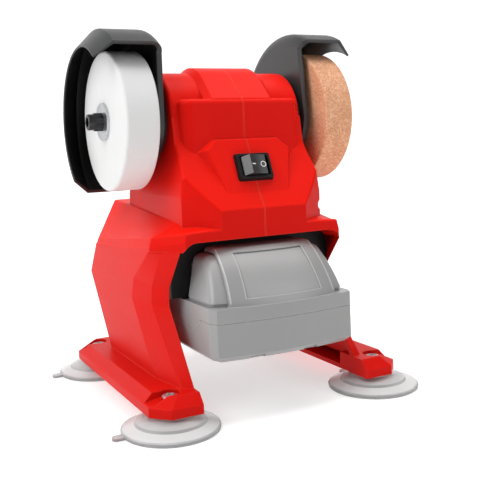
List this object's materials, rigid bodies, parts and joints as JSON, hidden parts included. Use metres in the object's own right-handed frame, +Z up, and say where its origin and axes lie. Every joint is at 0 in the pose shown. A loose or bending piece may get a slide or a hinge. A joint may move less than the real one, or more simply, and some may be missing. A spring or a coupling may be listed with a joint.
{
  "type": "bench grinder",
  "caption": "Small cordless bench grinder: faceted housing on channel legs with suction cups, guarded grinding wheels on one spindle, rocker switch and slide-in battery pack.",
  "frame": {"origin": "centre of the bounding box in X and Y, at the undersides of the suction cups", "axes": "+Z up, -Y to the front where the switch and the battery pack are, +X to the right along the spindle"},
  "size_m": [0.1814, 0.1662, 0.2012],
  "materials": {
    "red_shell": "satin moulded nylon",
    "guard_plastic": "fine matt texture",
    "white_wheel": "dense felt",
    "tan_wheel": "bonded grit",
    "black_plastic": "matt",
    "rocker_plastic": "satin",
    "pack_grey": "satin",
    "button_grey": "satin",
    "clear_vinyl": "clear soft vinyl",
    "steel": "turned",
    "zinc_steel": "bright zinc plate",
    "black_steel": "black oxide",
    "motor_steel": "zinc plate",
    "magnet": "sintered ferrite",
    "copper": "enamelled copper",
    "brass": "plain",
    "carbon": "pressed graphite",
    "cell_wrap": "shrink film"
  },
  "bodies": {
    "base": {"left_housing": "red_shell", "right_housing": "red_shell", "housing_screws": "zinc_steel", "left_guard": "guard_plastic", "right_guard": "guard_plastic", "guard_screws": "zinc_steel", "motor_can": "motor_steel", "motor_magnets": "magnet", "motor_end_plate": "black_plastic", "carbon_brushes": "carbon", "spindle_bearings": "steel", "switch_body": "black_plastic", "switch_tabs": "brass", "battery_dock": "black_plastic", "terminal_block": "black_plastic", "terminal_blades": "brass", "cup_front_left": "clear_vinyl", "cup_front_right": "clear_vinyl", "cup_rear_left": "clear_vinyl", "cup_rear_right": "clear_vinyl", "cup_screws": "zinc_steel"},
    "spindle": {"spindle_shaft": "steel", "left_wheel": "white_wheel", "right_wheel": "tan_wheel", "wheel_flanges": "steel", "wheel_washers": "zinc_steel", "clamp_screws": "black_steel", "rotor_core": "motor_steel", "rotor_winding": "copper", "commutator": "copper"},
    "switch_rocker": {"rocker": "rocker_plastic"},
    "battery_pack": {"battery_lower_case": "pack_grey", "battery_upper_case": "pack_grey", "battery_cells": "cell_wrap", "cell_links": "zinc_steel", "case_screws": "zinc_steel"},
    "left_button": {"left_release_button": "button_grey"},
    "right_button": {"right_release_button": "button_grey"}
  },
  "joints": [
    {"name": "spindle_spin", "type": "hinge", "parent": "base", "child": "spindle", "pos_m": [0, 0, 0.152], "axis": [1, 0, 0], "continuous": true},
    {"name": "rocker_tilt", "type": "hinge", "parent": "base", "child": "switch_rocker", "pos_m": [0, -0.04026, 0.12424], "axis": [0, -0.3859, -0.9225], "range_deg": [0, 22]},
    {"name": "battery_slide", "type": "slide", "parent": "base", "child": "battery_pack", "axis": [0, -1, 0], "range_m": [0, 0.115]},
    {"name": "left_button_press", "type": "slide", "parent": "battery_pack", "child": "left_button", "axis": [1, 0, 0], "range_m": [0, 0.0015], "stiffness_N_per_m": 800},
    {"name": "right_button_press", "type": "slide", "parent": "battery_pack", "child": "right_button", "axis": [-1, 0, 0], "range_m": [0, 0.0015], "stiffness_N_per_m": 800}
  ]
}
